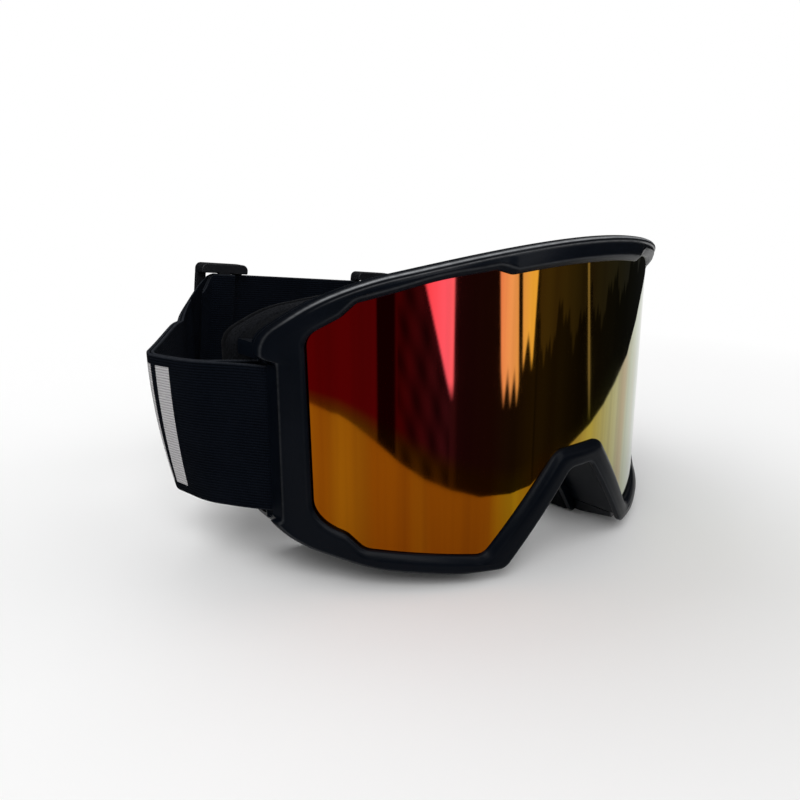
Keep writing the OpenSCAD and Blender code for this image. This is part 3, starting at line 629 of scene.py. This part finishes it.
open_foam = Finish("open_foam", Roughness=0.95, Specular_IOR_Level=0.05)
cells = open_foam.node("TexVoronoi", Vector=open_foam.place(), Scale=900)
open_foam.tint(cells, (0.05, (0.0015, 0.0016, 0.002)), (0.6, (0.012, 0.012, 0.014)))
open_foam.bump(cells, 0.9, 0.0006)
wall_outside, wall_inside = moved_outline(wall_half, strip_outside), moved_outline(wall_half, strip_inside)
vent_spans = {"top_vent_foam": (-62.5, 62.5, 60, 120), "bottom_vent_foam_left": (-66.5, -38.5, 0, 17.5),
    "bottom_vent_foam_right": (38.5, 66.5, 0, 17.5)}
for node, (x0, x1, z0, z1) in vent_spans.items():
    in_span = (wall_outside > (x0, z0)) & (wall_outside < (x1, z1))
    stretch = np.flatnonzero(in_span.all(axis=1))
    gap = np.flatnonzero(np.diff(stretch) > 1)
    stretch = np.roll(stretch, -(gap[0] + 1)) if len(gap) else stretch
    strip = add_strip(node + "_strip", wall_outside[stretch], wall_inside[stretch],
        lambda x: plan_y(x, strip_front), lambda x: face_depth_at(x) - flange_t - strip_gap)
    strip.data.materials.append(open_foam.material)
    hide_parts(node)
    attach(strip, "frame_body")

# Face foam: a firm layer glued to the flange, a softer one on it, and a thin brushed fleece that meets the skin.
# Each is a ring of rounded section, a little fuller than the layer under it, on the arc of the face.
ring_lap, ring_outside, ring_inside = 36, 0.15, 12.8
face_outside, face_inside = moved_outline(face_half, ring_outside), moved_outline(face_half, ring_inside)


def add_ring(name, start, stop, round_across, round_deep, swell, dent):
    """Padding ring between two depths behind the flange: a squarish oval section, swollen at its sides and dented
    in slow waves along its length."""
    across, deep = squarish(ring_lap, round_across, round_deep)
    across = 0.5 + (across - 0.5) * (1 + swell)
    rows = face_outside[:, None] + (face_inside - face_outside)[:, None] * across[:, None]
    along = np.linspace(0, 2 * math.pi, len(rows), endpoint=False)[:, None]
    wave = dent * (np.sin(11 * along) + 0.6 * np.sin(23 * along + 1.3))
    wave = wave * deep * np.sin(math.pi * np.clip(across, 0, 1))
    depth = face_depth_at(rows[..., 0]) + start + (stop - start) * deep - wave
    points = np.stack([rows[..., 0], depth, rows[..., 1]], axis=-1)
    join, last = np.arange(ring_lap), (len(rows) - 1) * ring_lap
    after = np.roll(join, -1)
    seam = np.stack([last + join, last + after, after, join], axis=1)
    piece = add_mesh(name, points, grid_faces(len(rows), ring_lap, wrap=True), seam)
    face_out(piece)
    return piece


firm = Finish("firm_foam", Roughness=0.95, Specular_IOR_Level=0.05)
firm_cells = firm.node("TexVoronoi", Vector=firm.place(), Scale=1500)
firm.tint(firm_cells, (0.05, (0.0007, 0.0009, 0.0014)), (0.6, (0.0030, 0.0035, 0.0048)))
firm.bump(firm_cells, 0.6, 0.0003)
soft = Finish("soft_foam", Roughness=0.95, Specular_IOR_Level=0.05)
soft_cells = soft.node("TexVoronoi", Vector=soft.place(), Scale=1100)
soft.tint(soft_cells, (0.05, (0.0013, 0.0016, 0.0022)), (0.6, (0.0062, 0.0068, 0.0088)))
soft.bump(soft_cells, 0.7, 0.0004)
fleece = Finish("fleece", Roughness=1.0, Sheen_Weight=0.02, Sheen_Roughness=0.5, Specular_IOR_Level=0.05)
nap = fleece.node("TexNoise", Vector=fleece.place(), Scale=1600, Detail=5, Roughness=0.7)
tuft = fleece.node("TexNoise", Vector=fleece.place(), Scale=220, Detail=3)
fleece.tint(fleece.sum("MULTIPLY", nap, tuft), (0.1, (0.0012, 0.0014, 0.0020)), (0.45, (0.0070, 0.0076, 0.0096)))
fleece.bump(fleece.sum("ADD", nap, tuft), 0.8, 0.0005)

# Each layer: its node, finish and slot, its two depths behind the flange, how round it is across and deep, its
# swell and its dents
layers = (("face_foam_base", firm, "firm_foam", 0.1, 9.0, 0.16, 0.16, 0.0, 0.0),
    ("face_foam_soft", soft, "soft_foam", 8.9, 18.0, 0.22, 0.3, 0.012, 0.12),
    ("face_fleece", fleece, "fleece", 17.7, 20.2, 0.35, 0.55, 0.02, 0.2))
for node, finish, slot_name, start, stop, round_across, round_deep, swell, dent in layers:
    ring = add_ring(node + "_ring", start, stop, round_across, round_deep, swell, dent)
    ring.data.materials.append(finish.material)
    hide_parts(node)
    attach(ring, "frame_body")

# Strap: black woven elastic, 50 mm wide, that loops round the bar in each wing, runs round the head and comes back
# to a slider. Ribs run along it, its edges are bound, and two plain pale stripes are woven across each side.
strap_w, strap_t, strap_gap = 50.0, 1.2, 0.3
bar = np.array([87.2, 58.0])
loop_r = 3.3
heading = math.radians(60.2)
strap_back_y, strap_back_z, strap_tilt = 160.0, 58.8, math.radians(7)
straight_x = 66.0
ply_step = strap_t + strap_gap
rise, strap_bow, low_in, middle_sag, low_sag = 26.0, 1.6, 6.9, 1.5, 1.9
loop_start = bar + loop_r * np.array([math.sin(heading), -math.cos(heading)])
strap_corners = np.array([(*loop_start, 0), (104.0, 80.4, 50), (109.5, 104.0, 14), (70.5, strap_back_y, 6),
    (straight_x, strap_back_y, 0)])


def even_run(run, step):
    """Points at even steps along a run."""
    length = np.concatenate([[0], np.cumsum(np.linalg.norm(np.diff(run, axis=0), axis=1))])
    where = np.linspace(0, length[-1], max(2, int(length[-1] / step)))
    return np.stack([np.interp(where, length, run[:, i]) for i in range(run.shape[1])], axis=1)


def run_side(run):
    """Unit normals of a run that point to its right."""
    along = np.gradient(run, axis=0)
    along /= np.linalg.norm(along, axis=1)[:, None]
    return np.stack([along[:, 1], -along[:, 0]], axis=1)


def ease(t):
    """Smooth step from 0 to 1."""
    t = np.clip(t, 0, 1)
    return t * t * (3 - 2 * t)


bends = corner_arcs(strap_corners)[1:4].reshape(-1, 2)
outer_run = even_run(np.concatenate([strap_corners[:1, :2], bends, strap_corners[-1:, :2]]), 1.0)
outer_at = np.concatenate([[0], np.cumsum(np.linalg.norm(np.diff(outer_run, axis=0), axis=1))])
half_way = np.sin(math.pi * np.minimum(1, outer_at / (outer_at[-1] - rise / 2))) ** 2
low_run = outer_run - run_side(outer_run) * low_in * half_way[:, None]
closing = (2 * loop_r + (ply_step - 2 * loop_r) * ease(outer_at / rise))[:, None]
loop_angle = np.radians(np.linspace(-160, 0, 40)[:-1]) + heading - math.pi / 2
loop_run = bar + loop_r * np.stack([np.cos(loop_angle), np.sin(loop_angle)], axis=1)


def climb(hand):
    """How far a side of the strap climbs from the bar to the back of the strap."""
    return strap_back_z - hand * straight_x * math.tan(strap_tilt) - bar_z


def side_height(hand):
    """Height of the strap's middle along a side: it sags a little, then climbs to the back of the strap."""
    return bar_z - middle_sag * half_way + climb(hand) * ease(1 - (outer_at[-1] - outer_at) / rise)


def late_rise(hand, along):
    """How far the upper edge stays below the straight strap near the slider, by the length past the strap's bend:
    the strap gathers there, and its edge comes up only under the slider."""
    return 1.1 * climb(hand) * (ease(1 + along / rise) - ease((along + 10) / 22))


def early_rise(hand):
    """How far the lower edge lies above the straight strap behind its bend: it climbs all the way to the back."""
    low_start = 58
    part = ease((outer_at - low_start) / (outer_at[-1] - low_start)) - ease(1 - (outer_at[-1] - outer_at) / rise)
    return 0.62 * climb(hand) * part


def add_ribbon(name, top, low, middle, bow=0.0, drop=0.0, sag=0.0, at=0.0):
    """Flat strap whose upper and lower edges follow two runs in plan: across it a rounded bar, bowed out between
    them by bow, its upper edge pulled down by drop and its lower one by sag. The UV map gives the length along it,
    from at, and the place across it, in strap widths."""
    edge_part = strap_t / 2 / strap_w
    flat_part = np.linspace(edge_part, 1 - edge_part, 30)
    rounded = np.linspace(0, math.pi, 7)[1:-1]
    lap = np.concatenate([flat_part, 1 - edge_part + edge_part * np.sin(rounded), flat_part[::-1],
        edge_part - edge_part * np.sin(rounded)])
    thick = 0.5 * np.concatenate([np.ones(len(flat_part)), np.cos(rounded)])
    thick = np.concatenate([thick, -thick])
    side = run_side(low)[:, None] + (run_side(top) - run_side(low))[:, None] * lap[:, None]
    bow, drop, sag = (np.broadcast_to(pull, len(top))[:, None] for pull in (bow, drop, sag))
    out = thick * strap_t + bow * 4 * lap * (1 - lap)
    plan = low[:, None] + (top - low)[:, None] * lap[:, None] + side * out[..., None]
    tall = middle[:, None] + (lap - 0.5) * strap_w - drop * lap ** 2 - sag * (1 - lap) ** 2
    points = np.stack([plan[..., 0], plan[..., 1], tall], axis=-1)
    total = len(lap)
    caps = np.stack([np.arange(total), (len(top) - 1) * total + np.arange(total)])
    piece = add_mesh(name, points, grid_faces(len(top), total, wrap=True), caps)
    face_out(piece)
    along = at + np.concatenate([[0], np.cumsum(np.linalg.norm(np.diff(top, axis=0), axis=1))])
    uv = np.stack([np.repeat(along / strap_w, total), np.tile(lap, len(top))], axis=1)
    corner = np.empty(len(piece.data.loops), dtype=np.int32)
    piece.data.loops.foreach_get("vertex_index", corner)
    piece.data.uv_layers.new(name="weave").data.foreach_set("uv", uv[corner].astype(np.float32).ravel())
    return piece


def elastic(name, striped):
    """Woven elastic: ribs along the strap and picks across it, a paler bound edge on both sides, and two pale
    stripes.
    """
    cloth = Finish(name, Roughness=0.85, Sheen_Weight=0.004, Sheen_Roughness=0.4, Specular_IOR_Level=0.02)
    uv = cloth.node("UVMap", settings={"uv_map": "weave"})
    split = cloth.tree.nodes.new("ShaderNodeSeparateXYZ")
    cloth.tree.links.new(uv, split.inputs[0])
    along, across = split.outputs[0], split.outputs[1]
    rib_count, pick_count = 52, 70
    ribs = cloth.sum("ABSOLUTE", cloth.sum("SINE", cloth.sum("MULTIPLY", across, math.pi * rib_count), 0.0), 0.0)
    picks = cloth.sum("ABSOLUTE", cloth.sum("SINE", cloth.sum("MULTIPLY", along, math.pi * pick_count), 0.0), 0.0)
    weave = cloth.sum("MULTIPLY", ribs, cloth.sum("ADD", cloth.sum("MULTIPLY", picks, 0.6), 0.4))
    fuzz = cloth.node("TexNoise", Vector=cloth.place(), Scale=700, Detail=4)
    cloud = cloth.node("TexNoise", Vector=cloth.place(), Scale=60, Detail=3)
    threads = cloth.sum("MULTIPLY", weave, cloth.sum("ADD", fuzz, 0.5))
    black = cloth.ramp(threads, (0.1, (0.0004, 0.0009, 0.0020)), (0.8, (0.0030, 0.0046, 0.0084)))
    black = cloth.mix(cloth.span(cloud, 0.4, 0.8, 0.0, 0.3), black, (0.0050, 0.0068, 0.0115))
    off_middle = cloth.sum("ABSOLUTE", cloth.sum("SUBTRACT", across, 0.5), 0.0)
    bound = cloth.sum("MULTIPLY", cloth.span(off_middle, 0.485, 0.5), cloth.sum("ADD", fuzz, 0.15))
    colour = cloth.mix(bound, black, (0.028, 0.031, 0.038))
    if striped:
        bands = cloth.ramp(cloth.sum("MULTIPLY", along, 0.5), (0.0, (0, 0, 0)), (0.385, (1, 1, 1)),
            (0.46, (0, 0, 0)), (0.49, (1, 1, 1)), (0.525, (0, 0, 0)))
        bands.node.color_ramp.interpolation = "CONSTANT"
        pale = cloth.ramp(threads, (0.0, (0.28, 0.275, 0.28)), (0.7, (0.50, 0.49, 0.50)))
        inner = cloth.sum("LESS_THAN", off_middle, 0.43)
        colour = cloth.mix(cloth.sum("MULTIPLY", bands, inner), colour, pale)
    cloth.set(cloth.shader, {"Base_Color": colour})
    cloth.bump(cloth.sum("ADD", weave, cloth.sum("MULTIPLY", fuzz, 0.4)), 0.9, 0.0003)
    return cloth.material


plain_elastic, striped_elastic = elastic("elastic", False), elastic("elastic_striped", True)
loop_length = 0.23 * len(loop_run)
returning = [run - run_side(run) * closing for run in (outer_run, low_run)]
for hand, side in ((-1, "left"), (1, "right")):
    plies = {"strap_" + side: (loop_run, outer_run, low_run), "strap_return_" + side: (loop_run[:0], *returning)}
    for node, (bend, top, low) in plies.items():
        top, low = np.concatenate([bend, top]) * (hand, 1), np.concatenate([bend, low]) * (hand, 1)
        tall = np.concatenate([np.full(len(bend), bar_z), side_height(hand)])
        none = np.zeros(len(bend))
        bow = np.concatenate([none, hand * strap_bow * half_way])
        gathered = np.concatenate([none, late_rise(hand, outer_at - outer_at[-1])])
        loose = np.concatenate([none, low_sag * np.sqrt(half_way) - early_rise(hand)])
        ply = add_ribbon(node + "_ply", top, low, tall, bow, gathered, loose, -loop_length)
        ply.data.materials.append(striped_elastic if node == "strap_" + side else plain_elastic)
        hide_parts(node)
        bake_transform(ply)

back_run = np.stack([np.linspace(straight_x, -straight_x, 130), np.full(130, strap_back_y)], axis=1)
back_gathered = late_rise(np.sign(back_run[:, 0]), straight_x - np.abs(back_run[:, 0]))
back_tall = strap_back_z - back_run[:, 0] * math.tan(strap_tilt)
strap_back = add_ribbon("strap_back_ply", back_run, back_run, back_tall, 0, back_gathered)
strap_back.data.materials.append(plain_elastic)
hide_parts("strap_back")
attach(strap_back, "strap_back_body")

# Strap ends: each ply that comes back from the bar turns round the slider's middle bar and is sewn to itself.
# They are the same elastic.
mid_bar_w, bar_t, play = 5.4, 2.0, 0.2
turn_r = bar_t / 2 + play + strap_t / 2
turn_y = -ply_step - strap_t / 2 - play - bar_t / 2
end_start = straight_x - strap_w / 2 * math.tan(strap_tilt) - play
bend_angle = np.radians(np.linspace(90, 270, 15))


def on_back(points):
    """Places points of the strap's back, which is tilted across the head."""
    x, y, z = points[:, 0], points[:, 1], points[:, 2]
    return np.stack([x * math.cos(strap_tilt) + z * math.sin(strap_tilt), strap_back_y + y,
        strap_back_z - x * math.sin(strap_tilt) + z * math.cos(strap_tilt)], axis=1)


for hand, side, slider_x in ((-1, "left", 54.0), (1, "right", 28.5)):
    far, near = slider_x - mid_bar_w / 2, slider_x + mid_bar_w / 2
    run = np.concatenate([[(end_start, -ply_step), (far + 0.5, -ply_step)],
        np.stack([far + turn_r * np.cos(bend_angle), turn_y + turn_r * np.sin(bend_angle)], axis=1),
        [(near, turn_y - turn_r), (near + 3.5, -2 * ply_step), (near + 7, -2 * ply_step)]])
    run = even_run(run, 0.6) * (hand, 1)
    gathered = late_rise(hand, straight_x - np.abs(run[:, 0])) * ease((np.abs(run[:, 0]) - slider_x - 4.5) / 4)
    end = add_ribbon("strap_end_%s_ply" % side, run, run, np.zeros(len(run)), 0, gathered)
    end.data.vertices.foreach_set("co", in_metres(on_back(points_of(end))).ravel())
    end.data.materials.append(plain_elastic)
    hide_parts("strap_end_" + side)
    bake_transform(end)

# Sliders: moulded loops of hard black plastic on the back of the strap. Two bars lie outside the strap and one
# inside it, and every edge is broken.
hard = Finish("slider_plastic", IOR=1.49, Specular_IOR_Level=0.2)
hard_cloud = hard.node("TexNoise", Vector=hard.place(), Scale=70, Detail=4)
hard_grain = hard.node("TexNoise", Vector=hard.place(), Scale=3200, Detail=2)
hard.tint(hard_cloud, (0.3, (0.0040, 0.0045, 0.0060)), (0.7, (0.0065, 0.0072, 0.0095)))
hard.set(hard.shader, {"Roughness": hard.span(hard_cloud, 0.0, 1.0, 0.30, 0.45)})
hard.bump(hard_grain, 0.2, 0.00006)
for side in ("left", "right"):
    loop = copy_solid("slider_%s_loop" % side, "slider_" + side)
    shape = bmesh.new()
    shape.from_mesh(loop.data)
    bmesh.ops.dissolve_limit(shape, angle_limit=math.radians(2), verts=shape.verts, edges=shape.edges)
    shape.to_mesh(loop.data)
    shape.free()
    loop.data.set_sharp_from_angle(angle=sharp_angle)
    broken = loop.modifiers.new("broken_edges", "BEVEL")
    broken.width = 0.0005
    broken.segments = 2
    broken.limit_method = "ANGLE"
    broken.angle_limit = math.radians(40)
    broken.harden_normals = True
    loop.data.materials.append(hard.material)
    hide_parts("slider_" + side)
    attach(loop, "slider_%s_body" % side)

# Grip lines: three lines of silicone printed on the inside of the strap's back.
# They keep their solids; the finish is cloudy and slightly tacky.
silicone = Finish("silicone", Roughness=0.5, Subsurface_Weight=0.1)
cloudy = silicone.node("TexNoise", Vector=silicone.place(), Scale=90, Detail=3)
silicone.tint(cloudy, (0.3, (0.09, 0.09, 0.10)), (0.7, (0.14, 0.14, 0.15)))
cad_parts["grip_lines"].data.materials.clear()
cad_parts["grip_lines"].data.materials.append(silicone.material)

bpy.context.scene.view_settings.view_transform = "Standard"
